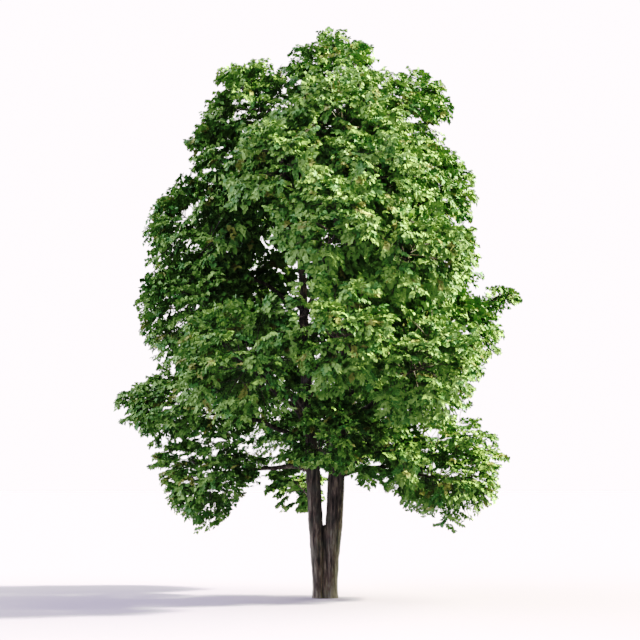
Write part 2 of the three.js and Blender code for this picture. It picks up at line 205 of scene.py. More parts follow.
fill = add_node(
    tree, "ShaderNodeBackground", {"Color": linear(FILL_COLOUR), "Strength": dome.outputs[0]}
)
seen = add_node(tree, "ShaderNodeBackground", {"Color": linear(SKY_COLOUR), "Strength": WHITE})
ray = add_node(tree, "ShaderNodeLightPath")
both = add_node(
    tree,
    "ShaderNodeMixShader",
    {0: ray.outputs["Is Camera Ray"], 1: fill.outputs[0], 2: seen.outputs[0]},
)
add_node(tree, "ShaderNodeOutputWorld", {"Surface": both.outputs[0]})
bpy.context.scene.world = world
print("sky:", len(tree.nodes), "nodes")

# %% [markdown]
# A tone curve comes last, as in a camera: it deepens the shade and holds back the brightest leaves. Each
# point pairs the light in the scene with what is shown of it. Light at WHITE, twice what a plain picture
# could hold, is shown as white, so leaves in full sun keep their green.

# %% Tone curve
TONE_CURVE = [
    (0.018, 0.011), (0.06, 0.083), (0.125, 0.19), (0.33, 0.405), (0.63, 0.585), (1.0, 0.70), (1.5, 0.87),
]
ALL_CHANNELS = 3

view = bpy.context.scene.view_settings
view.view_transform = "Standard"
view.use_curve_mapping = True
view.curve_mapping.white_level = (WHITE, WHITE, WHITE)
tone_points = view.curve_mapping.curves[ALL_CHANNELS].points
for light, shown in TONE_CURVE:
    point = tone_points.new(light / WHITE, shown)
    point.handle_type = "AUTO_CLAMPED"
view.curve_mapping.update()
print("tone curve:", len(tone_points), "points")

# %% [markdown]
# The two stems. Each station gives a height, the middle of the section there and its radius, in
# millimetres, as the solids have them. Both stems rise from one root, lean apart and thin out upwards.

# %% Stations of the stems
FORK_HEIGHT = 1000
STEMS = {
    "left": [
        (0, -76, -12, 84), (50, -74, -12, 84), (160, -72, -12, 84), (540, -92, -14, 96),
        (FORK_HEIGHT, -121, -20, 96), (1660, -152, -30, 98), (2500, -225, -45, 82),
        (3600, -282, -60, 66), (4500, -309, -60, 52), (5400, -420, -80, 38), (6350, -620, -100, 22),
    ],
    "right": [
        (0, 80, 12, 92), (50, 80, 12, 91), (160, 82, 12, 89), (540, 96, 14, 100),
        (FORK_HEIGHT, 132, 20, 118), (1660, 161, 30, 116), (2500, 235, 45, 96),
        (3600, 330, 60, 76), (4500, 380, 60, 58), (5400, 330, 40, 42), (6700, 200, 10, 22),
    ],
}
STATIONS = {side: np.array(rows) * MM for side, rows in STEMS.items()}


def axis_at(side, z):
    """The middle of a stem at a height, and its radius there."""
    rows = STATIONS[side]
    x, y, r = (np.interp(z, rows[:, 0], rows[:, k]) for k in (1, 2, 3))
    return np.array([x, y, z]), float(r)


print("stems:", {side: f"{rows[-1, 0]:.2f} m" for side, rows in STATIONS.items()})

# %% [markdown]
# The trunk could be sculpted or grown from a curve. Here each stem is drawn as by hand: a circle is
# extruded upwards ring by ring and resized at every ring, which gives level sections that follow the
# lean. The start lies under the ground, so that the flat cut can be made afterwards, through the relief.

# %% Rings of a stem
RING_STEP = 0.12
BELOW_GROUND = -0.12
FLARE = 0.17
FLARE_HEIGHT = 0.09


def stem_rings(side):
    """Level rings of a stem as rows of x, y, z and radius, from under the ground to its tip."""
    top = STATIONS[side][-1, 0]
    heights = np.linspace(BELOW_GROUND, top, round((top - BELOW_GROUND) / RING_STEP) + 1)
    rings = []
    for z in heights:
        middle, radius = axis_at(side, max(z, 0.0))
        radius *= 1 + FLARE * math.exp(-max(z, 0.0) / FLARE_HEIGHT)
        rings.append((middle[0], middle[1], z, radius))
    return rings


def extrude_rings(name, rings, sides):
    """A closed cage of rings, made by extruding a disc upwards."""
    bpy.ops.object.select_all(action="DESELECT")
    bpy.ops.mesh.primitive_circle_add(
        vertices=sides, radius=rings[0][3], fill_type="NGON", location=rings[0][:3]
    )
    cage = bpy.context.object
    cage.name = name
    bpy.ops.object.transform_apply(location=True)
    bpy.ops.object.mode_set(mode="EDIT")
    bpy.ops.mesh.select_all(action="SELECT")
    for here, there in zip(rings, rings[1:]):
        step = [b - a for a, b in zip(here[:3], there[:3])]
        share = there[3] / here[3]
        bpy.ops.mesh.extrude_region_move(TRANSFORM_OT_translate={"value": step})
        bpy.ops.transform.resize(value=(share, share, 1), center_override=there[:3])
    bpy.ops.mesh.select_all(action="SELECT")
    bpy.ops.mesh.normals_make_consistent(inside=False)
    bpy.ops.object.mode_set(mode="OBJECT")
    return cage


print("rings:", {side: len(stem_rings(side)) for side in STEMS})

# %% [markdown]
# Near the ground some sides of a stem are pulled outwards as low buttresses, the root flare. Then a
# Subdivision Surface rounds the cage and gives the relief enough corners to work on.

# %% Stems with their root flare
STEM_SIDES = 20
STEM_ROUNDING = 2
LOBES = 5
LOBE_SHARE = 1.10
LOBE_EDGE = 0.55


def pull_lobes(cage, middle, turn):
    """Pulls some sides of a stem's foot outwards."""
    mesh = cage.data
    mesh.polygons.foreach_set("select", np.zeros(len(mesh.polygons), bool))
    mesh.edges.foreach_set("select", np.zeros(len(mesh.edges), bool))
    for corner in mesh.vertices:
        angle = math.atan2(corner.co.y - middle[1], corner.co.x - middle[0])
        on_lobe = math.cos(LOBES * angle + turn) > LOBE_EDGE
        corner.select = corner.co.z < FLARE_HEIGHT and on_lobe
    bpy.ops.object.mode_set(mode="EDIT")
    bpy.ops.transform.resize(value=(LOBE_SHARE, LOBE_SHARE, 1), center_override=middle)
    bpy.ops.object.mode_set(mode="OBJECT")


def apply_modifier(piece, kind, **settings):
    """Adds a modifier with its settings and applies it at once."""
    modifier = piece.modifiers.new(kind.lower(), kind)
    for name, value in settings.items():
        setattr(modifier, name, value)
    bpy.context.view_layer.objects.active = piece
    bpy.ops.object.modifier_apply(modifier=modifier.name)


def round_off(piece, levels):
    """Rounds a cage by subdividing it."""
    apply_modifier(piece, "SUBSURF", levels=levels, render_levels=levels)


stems = {}
for turn, side in enumerate(STEMS):
    stems[side] = extrude_rings(f"{side}_stem", stem_rings(side), STEM_SIDES)
    pull_lobes(stems[side], axis_at(side, 0.0)[0], turn)
    round_off(stems[side], STEM_ROUNDING)
    print(side, "stem:", len(stems[side].data.polygons), "faces")

# %% [markdown]
# Below the fork the two stems have grown together. Two stems that only cross would leave walls inside
# and a gap at the crotch. So a slim filler is set between them, and a Boolean union makes one skin of all
# three.

# %% One trunk
CROTCH = {"x": 0.002, "foot": 0.10, "top": 0.034, "sides": 12, "rings": 9}

fork = FORK_HEIGHT * MM
filler_rings = [
    (CROTCH["x"], 0.0, z, np.interp(z, [0, fork], [CROTCH["foot"], CROTCH["top"]]))
    for z in np.linspace(BELOW_GROUND, fork, CROTCH["rings"])
]
filler = extrude_rings("crotch_filler", filler_rings, CROTCH["sides"])
round_off(filler, STEM_ROUNDING)

trunk = stems["left"]
trunk.name = "trunk_and_leaders"
trunk.data.name = trunk.name
for part in (stems["right"], filler):
    apply_modifier(trunk, "BOOLEAN", operation="UNION", object=part, solver="EXACT")
    bpy.data.objects.remove(part)
print("union:", len(trunk.data.polygons), "faces")

# %% [markdown]
# Then the bark: lindens have upright ridges with dark fissures between them. A Displace modifier with
# hard clouds gives creases, and an empty that is stretched upwards, used as the texture's frame, draws
# the creases out along the stem. Last, a bisect cuts the trunk off flat at the ground.

# %% Bark relief and the flat cut
FISSURE_SIZE = 0.040
FISSURE_STRETCH = 7.0
FISSURE_DETAIL = 2
RELIEF = 0.017
RELIEF_LEVEL = 0.2
CUT_WITHIN = 1e-6
SOFT_EDGE = math.radians(60)


def add_relief(piece, size, stretch, depth, detail):
    """Presses bark fissures into a limb's skin."""
    pattern = bpy.data.textures.new("bark fissures", "CLOUDS")
    pattern.noise_type = "HARD_NOISE"
    pattern.noise_scale = size
    pattern.noise_depth = detail
    guide = bpy.data.objects.new("fissure_guide", None)
    guide.scale = (1, 1, stretch)
    bpy.context.scene.collection.objects.link(guide)
    bpy.context.view_layer.update()
    apply_modifier(
        piece,
        "DISPLACE",
        texture=pattern,
        texture_coords="OBJECT",
        texture_coords_object=guide,
        strength=depth,
        mid_level=RELIEF_LEVEL,
    )
    bpy.data.objects.remove(guide)
    bpy.data.textures.remove(pattern)


add_relief(trunk, FISSURE_SIZE, FISSURE_STRETCH, RELIEF, FISSURE_DETAIL)
bpy.ops.object.select_all(action="DESELECT")
trunk.select_set(True)
bpy.context.view_layer.objects.active = trunk
bpy.ops.object.mode_set(mode="EDIT")
bpy.ops.mesh.select_all(action="SELECT")
bpy.ops.mesh.bisect(
    plane_co=(0, 0, 0), plane_no=(0, 0, 1), use_fill=True, clear_inner=True, threshold=CUT_WITHIN
)
bpy.ops.object.mode_set(mode="OBJECT")
bpy.ops.object.shade_smooth_by_angle(angle=SOFT_EDGE)
lowest = min(corner.co.z for corner in trunk.data.vertices)
print("trunk:", len(trunk.data.polygons), "faces, lowest point:", f"{lowest:.6f} m")

# %% [markdown]
# The crown's plan. Every mass of leaves has a middle, half widths, and the leader and height that it
# grows from, in millimetres, as in the solids. A mass keeps to its own space: a rounded body, cut by a
# flat wall to each neighbour. Its bough starts in the leader, arches, and goes on inside as a stem.

# %% Table of the masses
MASSES = {
    "crown_top": ((170, 0, 7250), (690, 740, 720), "right", 6700),
    "top_left": ((-940, -150, 6840), (770, 730, 690), "left", 6350),
    "top_front": ((250, -1000, 6450), (770, 620, 690), "right", 5750),
    "top_back": ((150, 1000, 6650), (820, 700, 730), "right", 6000),
    "top_right": ((1180, 0, 6780), (600, 720, 640), "right", 5500),
    "upper_left": ((-1310, -100, 6180), (610, 790, 620), "left", 5000),
    "upper_right": ((1440, -100, 5610), (710, 800, 680), "right", 4800),
    "upper_front_left": ((-600, -1400, 5750), (710, 610, 610), "left", 4550),
    "upper_front_right": ((720, -1400, 5600), (730, 610, 630), "right", 4400),
    "upper_back_left": ((-750, 1500, 5850), (810, 710, 710), "left", 4700),
    "upper_back_right": ((900, 1450, 5800), (810, 710, 710), "right", 4950),
    "mid_left": ((-1820, -150, 5000), (710, 850, 730), "left", 4000),
    "mid_right": ((1530, -50, 4600), (690, 850, 660), "right", 3850),
    "mid_front": ((150, -1950, 4850), (810, 610, 650), "left", 3850),
    "mid_front_right": ((1200, -1500, 4500), (730, 690, 650), "right", 3450),
    "mid_back_left": ((-1450, 1550, 4600), (810, 760, 760), "left", 3500),
    "mid_back_right": ((850, 1900, 4650), (910, 730, 760), "right", 3650),
    "right_spray": ((2450, -100, 4110), (360, 220, 150), "right", 3150),
    "lower_left": ((-1840, -200, 3790), (800, 900, 690), "left", 2620),
    "lower_right": ((1700, -100, 3560), (780, 900, 660), "right", 2700),
    "lower_front_left": ((-1050, -1750, 3030), (860, 730, 760), "left", 2330),
    "lower_front": ((150, -2000, 3380), (810, 650, 690), "left", 2950),
    "lower_front_right": ((1250, -1600, 3020), (800, 730, 740), "right", 2250),
    "lower_back_left": ((-1100, 1850, 3350), (940, 760, 710), "left", 2450),
    "lower_back_right": ((980, 1900, 3350), (950, 760, 710), "right", 2450),
    "skirt_left": ((-1940, -150, 2600), (890, 850, 430), "left", 2130),
    "low_left": ((-1670, -100, 1590), (670, 740, 770), "left", 1740),
    "low_right": ((1700, -100, 1690), (760, 800, 770), "right", 1670),
    "low_back": ((0, 1900, 2250), (1210, 710, 530), "right", 1980),
    "inner_right": ((900, -500, 1930), (700, 630, 520), "right", 1780),
    "low_front": ((50, -950, 2180), (640, 520, 480), "left", 1800),
    "inner_left": ((-430, 600, 1450), (400, 390, 380), "left", 1320),
}
DIRECT = {"crown_top", "top_left", "top_front", "top_back", "inner_right", "low_front", "inner_left"}
WIDER_TOP = {"low_left": 0.45, "low_right": 0.1}
print("masses:", len(MASSES), "of which straight from a leader:", len(DIRECT))

# %% [markdown]
# One mass after the other is worked out as the solids have it. Each body is made a little fuller towards
# the inside of the crown. A low bough arches over before it droops, and a high one turns upwards.

# %% Plan of one mass
CROWN_MIDDLE = np.array([0, 0, 4.6])
FULLNESS = 1.16
BOUGH_SHARE = 0.048
BOUGH_TO_LEADER = 0.6
BOUGH_TAPER = 0.55
BOUGH_ENTERS = 0.62
STEM_OVER = 0.3
STEM_TO_LEADER = 0.85
ARCH = {"low": 0.16, "high": -0.08, "from": 1.6, "to": 4.6}


def unit(vectors):
    """Vectors of length 1 along the last axis."""
    return vectors / np.linalg.norm(vectors, axis=-1, keepdims=True)


def width_along(half, way):
    """How far a rounded body reaches from its middle along a way."""
    return 1 / np.linalg.norm(way / half)


def plan_mass(name):
    """Middle, half widths, bough and stem of one mass, in metres."""
    at, half, side, start_height = MASSES[name]
    middle, half = np.array(at) * MM, np.array(half) * MM
    outward = unit(middle - CROWN_MIDDLE)
    middle = middle - (FULLNESS - 1) * width_along(half, outward) * outward
    half = half * FULLNESS
    size = float(np.cbrt(half.prod()))
    start, leader_radius = axis_at(side, start_height * MM)
    inward = unit(middle - start)
    width = width_along(half, inward)
    root = min(BOUGH_SHARE * size, BOUGH_TO_LEADER * leader_radius)
    end = root * BOUGH_TAPER
    plan = {"middle": middle, "half": half, "size": size, "root": root, "end": end, "start": start}
    plan["top"] = WIDER_TOP.get(name, 0.0)
    if name in DIRECT:
        if start_height == STEMS[side][-1][0]:
            plan["end"] = STEM_TO_LEADER * leader_radius
        plan["foot"] = start
        plan["head"] = middle + STEM_OVER * width * inward
        return plan
    high = np.clip((middle[2] - ARCH["from"]) / (ARCH["to"] - ARCH["from"]), 0, 1)
    tip = middle - BOUGH_ENTERS * width * inward
    bend = (start + tip) / 2
    bend[2] += (ARCH["low"] + (ARCH["high"] - ARCH["low"]) * high) * np.linalg.norm(tip - start)
    plan["bend"] = bend
    plan["foot"] = tip
    plan["head"] = tip + (BOUGH_ENTERS + STEM_OVER) * width * unit(tip - bend)
    return plan


plans = {name: plan_mass(name) for name in MASSES}
print("boughs planned:", sum("bend" in plan for plan in plans.values()))

# %% [markdown]
# The next steps ask the same question of several hundred thousand leaves: does this point lie inside its
# own mass? So the plan is also kept in arrays, one row to a mass, and answered for all points at once.

# %% Spaces of the masses
LEAST_WIDENING = 0.2

middles = np.array([plan["middle"] for plan in plans.values()])
halves = np.array([plan["half"] for plan in plans.values()])
sizes = np.array([plan["size"] for plan in plans.values()])
tops = np.array([plan["top"] for plan in plans.values()])


def share_of_body(points, owner):
    """How far out a point lies in its mass's rounded body: 0 in the middle and 1 at the outside."""
    offset = (points - middles[owner]) / halves[owner]
    widening = np.maximum(1 + tops[owner] * offset[:, 2], LEAST_WIDENING)
    return np.sqrt((offset[:, :2] ** 2).sum(1) / widening**2 + offset[:, 2] ** 2)


def in_own_cell(points, owner):
    """Whether a point lies on its own mass's side of every flat wall."""
    away = ((points[:, None] - middles) ** 2).sum(2) - sizes**2
    return away.argmin(1) == owner


print("mean mass:", round(float(sizes.mean()), 3), "m from middle to outside")

# %% [markdown]
# Boughs are thought of as lines that taper, so they are drawn as curves with a thickness at every point.
# Each swells into a collar where it leaves its leader, wavers a little, and thins to a twig at the far
# end of its mass.

# %% Lines of the boughs
BOUGH_POINTS = 14
STEM_POINTS = 9
STEM_TIP = 0.004
COLLAR = {"swell": 0.55, "reach": 0.16}
WAVER = 0.022
WAVER_FULL = 0.5
WAVES = [(5.1, 1.0), (11.3, 0.6)]
SEED = 7

rng = np.random.default_rng(SEED)


def bezier(start, bend, end, share):
    """Points on quadratic curves."""
    return (1 - share) ** 2 * start + 2 * share * (1 - share) * bend + share**2 * end


def limb_line(plan):
    """Middle line and radii of a bough with the stem that goes on from it."""
    stem_share = np.linspace(0, 1, STEM_POINTS)[:, None]
    line = plan["foot"] + stem_share * (plan["head"] - plan["foot"])
    radii = np.interp(stem_share[:, 0], [0, 1], [plan["end"], STEM_TIP])
    if "bend" in plan:
        share = np.linspace(0, 1, BOUGH_POINTS)[:-1, None]
        curve = bezier(plan["start"], plan["bend"], plan["foot"], share)
        line = np.concatenate([curve, line])
        radii = np.concatenate([np.interp(share[:, 0], [0, 1], [plan["root"], plan["end"]]), radii])
    steps = np.linalg.norm(np.diff(line, axis=0), axis=1)
    run = np.concatenate([[0], steps.cumsum()])
    radii = radii * (1 + COLLAR["swell"] * np.exp(-((run / COLLAR["reach"]) ** 2)))
    phases = rng.uniform(0, 2 * math.pi, (len(WAVES), 3))
    swing = sum(
        height * np.sin(run[:, None] * waves + phase) for (waves, height), phase in zip(WAVES, phases)
    )
    return line + WAVER * swing * np.minimum(run / WAVER_FULL, 1)[:, None], radii


limb_lines = {name: limb_line(plan) for name, plan in plans.items()}
print("longest limb:", max(len(line) for line, _ in limb_lines.values()), "points")

# %% [markdown]
# Converted to a mesh and subdivided, the boughs take the same relief as the trunk, but finer and less
# drawn out, because young bark is smoother.

# %% Boughs
BOUGH_ROUNDNESS = 3
BOUGH_ROUNDING = 1
BOUGH_STRETCH = 1.5
BOUGH_RELIEF = 0.006
BOUGH_DETAIL = 1

curve_data = bpy.data.curves.new("boughs", "CURVE")
curve_data.dimensions = "3D"
curve_data.bevel_depth = 1.0
curve_data.bevel_resolution = BOUGH_ROUNDNESS
curve_data.use_fill_caps = True
for line, radii in limb_lines.values():
    spline = curve_data.splines.new("POLY")
    spline.points.add(len(line) - 1)
    for point, place, radius in zip(spline.points, line, radii):
        point.co = (*place, 1)
        point.radius = radius
boughs = bpy.data.objects.new("boughs", curve_data)
bpy.context.scene.collection.objects.link(boughs)
bpy.ops.object.select_all(action="DESELECT")
boughs.select_set(True)
bpy.context.view_layer.objects.active = boughs
bpy.ops.object.convert(target="MESH")
boughs = bpy.context.object
round_off(boughs, BOUGH_ROUNDING)
add_relief(boughs, FISSURE_SIZE / 2, BOUGH_STRETCH, BOUGH_RELIEF, BOUGH_DETAIL)
bpy.ops.object.shade_smooth()
print("boughs:", len(boughs.data.polygons), "faces")

# %% [markdown]
# Bark is dead cork: matt, with hardly any gloss, grey-brown on the ridges and nearly black in the
# fissures. The near black is painted shade in the fissures, and the palest brown is painted light on
# the ridges. The colour follows a noise with the spacing of the trunk's relief, 40 mm, and is drawn out
# upwards in the same measure as each relief. A second noise, in patches of about 300 mm, greys and greens
# the ridges as weather and algae do. The first noise, as bump, roughens what the mesh can't hold.

# %% Bark material
# The darkest bark colour is painted shade for the fissures, and the lightest is painted light for the
# ridges.
BARK_FISSURE_SHADE = 0x1C1814
BARK_MID = 0x3E372F
BARK_LIT_RIDGE = 0x63594C
BARK_WEATHERED = 0x4B4C40
BARK_STEPS = {"dark": 0.34, "mid": 0.50, "light": 0.68}
BARK_GRAIN = {"Detail": 6.0, "Roughness": 0.62}
PATCH_SIZE = 0.3125
PATCH_DETAIL = 3.0
PATCH_EDGE = {"From Min": 0.48, "From Max": 0.72, "To Max": 0.55}
BARK_BUMP = {"Strength": 0.9, "Distance": 0.012}
BARK_FINISH = {"Roughness": 0.92, "Specular IOR Level": 0.2}


def bark_material(name, stretch):
    """Fissured bark with painted shade and light, whose pattern is drawn out upwards by a factor."""
    material, tree = new_material(name)
    place = add_node(tree, "ShaderNodeTexCoord").outputs["Object"]
    drawn = add_node(tree, "ShaderNodeMapping", {"Vector": place, "Scale": (1, 1, 1 / stretch)})
    ridges = add_node(
        tree, "ShaderNodeTexNoise", {"Vector": drawn.outputs[0], "Scale": 1 / FISSURE_SIZE, **BARK_GRAIN}
    )
    ramp = add_node(tree, "ShaderNodeValToRGB", {"Fac": ridges.outputs["Fac"]})
    stops = ramp.color_ramp.elements
    # Low noise, in the fissures, gets the painted shade, and high noise, on the ridges, the painted
    # light.
    stops[0].position, stops[0].color = BARK_STEPS["dark"], linear(BARK_FISSURE_SHADE)
    stops[1].position, stops[1].color = BARK_STEPS["light"], linear(BARK_LIT_RIDGE)
    stops.new(BARK_STEPS["mid"]).color = linear(BARK_MID)
    weather = add_node(
        tree, "ShaderNodeTexNoise", {"Vector": place, "Scale": 1 / PATCH_SIZE, "Detail": PATCH_DETAIL}
    )
    patches = add_node(tree, "ShaderNodeMapRange", {"Value": weather.outputs["Fac"], **PATCH_EDGE})
    colour = add_node(
        tree,
        "ShaderNodeMix",
        {"Factor": patches.outputs[0], "A": ramp.outputs[0], "B": linear(BARK_WEATHERED)},
        data_type="RGBA",
    )
    colour_out = next(socket for socket in colour.outputs if socket.type == "RGBA")
    bump = add_node(tree, "ShaderNodeBump", {"Height": ridges.outputs["Fac"], **BARK_BUMP})
    shader = add_node(
        tree,
        "ShaderNodeBsdfPrincipled",
        {"Base Color": colour_out, "Normal": bump.outputs[0], **BARK_FINISH},
    )
    finish_material(tree, shader)
    return material


put_on(trunk, bark_material("linden bark", FISSURE_STRETCH))
put_on(boughs, bark_material("young linden bark", BOUGH_STRETCH))
print("bark:", trunk.data.materials[0].name, "and", boughs.data.materials[0].name)

# %% [markdown]
# Shoots. The rule of the solids: one shoot goes on from the stem, and the others aim evenly all over the
# mass's body, in a spiral that a seeded chance turns. They leave the stem in the order in which they lie
# along it.

# %% Shoots by the seeded rule
SHOOTS_AT = {"size": 0.87, "count": 15}
FEWEST_SHOOTS = 6
ROOTS = {"first": 0.18, "last": 0.95}
CHANCE = {"factor": 16807, "modulus": 2147483647, "spread": 7919}
GOLDEN_ANGLE = math.pi * (3 - math.sqrt(5))


def chance_of(seed):
    """A run of numbers between 0 and 1 that is the same each time."""
    state = (seed + 1) * CHANCE["spread"]
    while True:
        state = state * CHANCE["factor"] % CHANCE["modulus"]
        yield state / CHANCE["modulus"]


def shoots_of(seed, plan):
    """Roots on the stem, and aims on the body, of one mass's shoots."""
    chance = chance_of(seed)
    way = unit(plan["head"] - plan["foot"])
    count = max(FEWEST_SHOOTS, round(SHOOTS_AT["count"] * (plan["size"] / SHOOTS_AT["size"]) ** 2))
    turn = next(chance) * 2 * math.pi
    i = np.arange(count)
    rise = 1 - (2 * i + 1) / count
    level = np.sqrt(1 - rise**2)
    around = turn + i * GOLDEN_ANGLE
    aims = np.stack([level * np.cos(around), level * np.sin(around), rise], 1)
    aims = np.concatenate([unit(way / plan["half"])[None], aims])
    aims = aims[np.argsort(-(aims * plan["half"]) @ way)]
    shares = np.linspace(ROOTS["last"], ROOTS["first"], len(aims))[:, None]
    return plan["foot"] + shares * (plan["head"] - plan["foot"]), aims


found = [shoots_of(seed, plan) for seed, plan in enumerate(plans.values())]
shoot_roots = np.concatenate([roots for roots, _ in found])
shoot_aims = np.concatenate([aims for _, aims in found])
shoot_owner = np.repeat(np.arange(len(found)), [len(aims) for _, aims in found])
print("shoots:", len(shoot_aims))

# %% [markdown]
# In the solids a shoot ends in one large leaf. Here it stops short of the outside and carries sprays, and
# a shoot that would cross a wall is shortened to the point where it meets it. It rises a little on its
# way, as a branch does that reaches for light.

# %% Reach of the shoots
SHOOT_REACH = (0.66, 0.84)
SHOOT_RISE = 0.16
SHORTEST_SHOOT = 0.25
WALL_TESTS = 16


def reach_out(roots, aims, owner):
    """Bends and tips of shoots on the way to their aims, cut short where they would cross a wall."""
    reach = rng.uniform(*SHOOT_REACH, len(aims))[:, None]
    widening = 1 + tops[owner, None] * aims[:, 2:] * reach
    stretch = np.concatenate([widening, widening, np.ones_like(widening)], 1)
    ends = middles[owner] + halves[owner] * aims * reach * stretch
    end_share = np.full(len(ends), SHORTEST_SHOOT)
    for share in np.linspace(SHORTEST_SHOOT, 1, WALL_TESTS):
        end_share[in_own_cell(roots + share * (ends - roots), owner)] = share
    ends = roots + end_share[:, None] * (ends - roots)
    bends = (roots + ends) / 2
    bends[:, 2] += SHOOT_RISE * np.linalg.norm(ends - roots, axis=1)
    return bends, ends


shoot_bends, shoot_tips = reach_out(shoot_roots, shoot_aims, shoot_owner)
print("longest shoot:", round(float(np.linalg.norm(shoot_tips - shoot_roots, axis=1).max()), 2), "m")

# %% [markdown]
# The rule carried further: every shoot forks into side shoots, which aim at the empty places between it
# and its neighbours. They lie opposite each other, at an angle that the seeded chance turns.

# %% Side shoots
FORKS = 2
FORK_FROM = (0.35, 0.55)
FORK_TURN = math.radians(32)
SQUARE_GUIDE = [0.3, 0.2, 1.0]

mains = len(shoot_tips)
to_level = unit(np.cross(shoot_aims, SQUARE_GUIDE))
to_top = np.cross(to_level, shoot_aims)
around = rng.uniform(0, 2 * math.pi, (mains, 1))
side_roots, side_aims = [], []
for number in range(FORKS):
    turned = around + number * 2 * math.pi / FORKS
    to_side = np.cos(turned) * to_level + np.sin(turned) * to_top
    side_aims.append(unit(math.cos(FORK_TURN) * shoot_aims + math.sin(FORK_TURN) * to_side))
    side_roots.append(bezier(shoot_roots, shoot_bends, shoot_tips, rng.uniform(*FORK_FROM, (mains, 1))))
side_roots = np.concatenate(side_roots)
side_aims = np.concatenate(side_aims)
side_owner = np.tile(shoot_owner, FORKS)
side_bends, side_tips = reach_out(side_roots, side_aims, side_owner)
shoot_roots = np.concatenate([shoot_roots, side_roots])
shoot_aims = np.concatenate([shoot_aims, side_aims])
shoot_owner = np.concatenate([shoot_owner, side_owner])
shoot_bends = np.concatenate([shoot_bends, side_bends])
shoot_tips = np.concatenate([shoot_tips, side_tips])
print("with side shoots:", len(shoot_tips))

# %% [markdown]
# From here on much depends on where in the crown a twig is: high or low, deep inside or at the outside.
# A few helpers measure that. A graded value is a pair: what it is at one end, and what it gains from
# there to the other end.

# %% Places in the crown
HIGH = {"from": 2.2, "to": 5.6}
CROWN_HALF = np.array([2.7, 2.5, 3.5])

up = np.array([0.0, 0.0, 1.0])


def graded(pair, share):
    """A value that changes along the way from one end to the other."""
    start, gain = pair
    return start + gain * share


def high_share(z):
    """0 in the low, drooping part of the crown and 1 in its round top."""
    return np.clip((z - HIGH["from"]) / (HIGH["to"] - HIGH["from"]), 0, 1)


def out_of_crown(points):
    """The way from the inside of the crown to the open air."""
    return unit((points - CROWN_MIDDLE) / CROWN_HALF**2)


def depth_share(points):
    """0 in the middle of the crown and 1 at its outside."""
    return np.linalg.norm((points - CROWN_MIDDLE) / CROWN_HALF, axis=-1)


def square_to(vectors, way):
    """The part of each vector that is square to a way, with length 1."""
    return unit(vectors - (vectors * way).sum(-1, keepdims=True) * way)


print("deepest shoot tip:", round(float(depth_share(shoot_tips).min()), 2), "of the way out")

# %% [markdown]
# Sprays. A linden twig carries its leaves in two flat ranks, so a branch makes broad drooping sprays
# that lie over each other like tiles, with shade under each. Every shoot gets several: one at its tip,
# the others turned round it. Masses at the crown's foot have no others behind them, so they bear sprays
# nearer to their stems. High in the crown, in full light, sprays are rounder and more upright.

# %% Sprays
SPRAYS = 3
SPRAY_FROM = 0.42
LEAFY_INSIDE = {"low_right": 0.12, "inner_right": 0.2, "low_left": 0.3}
SPRAY_LEVEL_CHANCE = 0.05
SPRAY_OVER = 0.6
SPRAY_WAY = {"tip_aim": 0.6, "ahead": 0.55, "aside": 0.85, "aim": 0.35, "chance": 0.12}
SPRAY_FACE = {"up": (1.0, -0.45), "out": (0.15, 0.55), "chance": (0.13, 0.15)}
SPRAY_LENGTH = (0.34, 0.50)
SPRAY_FIT = {"size": 0.87, "least": 0.5, "most": 1.1}
SPRAY_SAG = (0.30, -0.18)

count = len(shoot_tips)
spray_from = np.array([LEAFY_INSIDE.get(name, SPRAY_FROM) for name in MASSES])[shoot_owner, None]
spray_shares = (spray_from + (1 - spray_from) * np.linspace(0, 1, SPRAYS))[..., None]
spray_roots = bezier(shoot_roots[:, None], shoot_bends[:, None], shoot_tips[:, None], spray_shares)
shoot_way = unit(
    (1 - spray_shares) * (shoot_bends - shoot_roots)[:, None]
    + spray_shares * (shoot_tips - shoot_bends)[:, None]
)
level_side = unit(np.cross(shoot_way, up + rng.normal(0, SPRAY_LEVEL_CHANCE, shoot_way.shape)))
over_side = np.cross(level_side, shoot_way)
roll = np.arange(SPRAYS)[None, :, None] * GOLDEN_ANGLE + rng.uniform(0, 2 * math.pi, (count, 1, 1))
to_side = np.cos(roll) * level_side + SPRAY_OVER * np.sin(roll) * over_side
aims = shoot_aims[:, None]
tip_way = shoot_way + SPRAY_WAY["tip_aim"] * aims
side_way = SPRAY_WAY["ahead"] * shoot_way + SPRAY_WAY["aside"] * to_side + SPRAY_WAY["aim"] * aims
at_tip = (np.arange(SPRAYS) == SPRAYS - 1)[None, :, None]
spray_way = np.where(at_tip, tip_way, side_way)
spray_way = unit(spray_way + rng.normal(0, SPRAY_WAY["chance"], spray_way.shape)).reshape(-1, 3)

spray_roots = spray_roots.reshape(-1, 3)
spray_owner = np.repeat(shoot_owner, SPRAYS)
spray_high = high_share(spray_roots[:, 2])[:, None]
spray_face = up * graded(SPRAY_FACE["up"], spray_high)
spray_face = spray_face + out_of_crown(spray_roots) * graded(SPRAY_FACE["out"], spray_high)
uneven = rng.normal(0, 1, spray_face.shape) * graded(SPRAY_FACE["chance"], spray_high)
spray_face = square_to(spray_face + uneven, spray_way)
spray_side = np.cross(spray_way, spray_face)
spray_fit = np.clip(sizes[spray_owner] / SPRAY_FIT["size"], SPRAY_FIT["least"], SPRAY_FIT["most"])
spray_long = rng.uniform(*SPRAY_LENGTH, len(spray_roots)) * spray_fit
spray_sag = graded(SPRAY_SAG, spray_high[:, 0]) * spray_long
print("sprays:", len(spray_roots))

# %% [markdown]
# A spray has an axis that sags under its leaves, and side twigs to the left and right in turn, shorter
# towards its end. The last twig goes straight on.

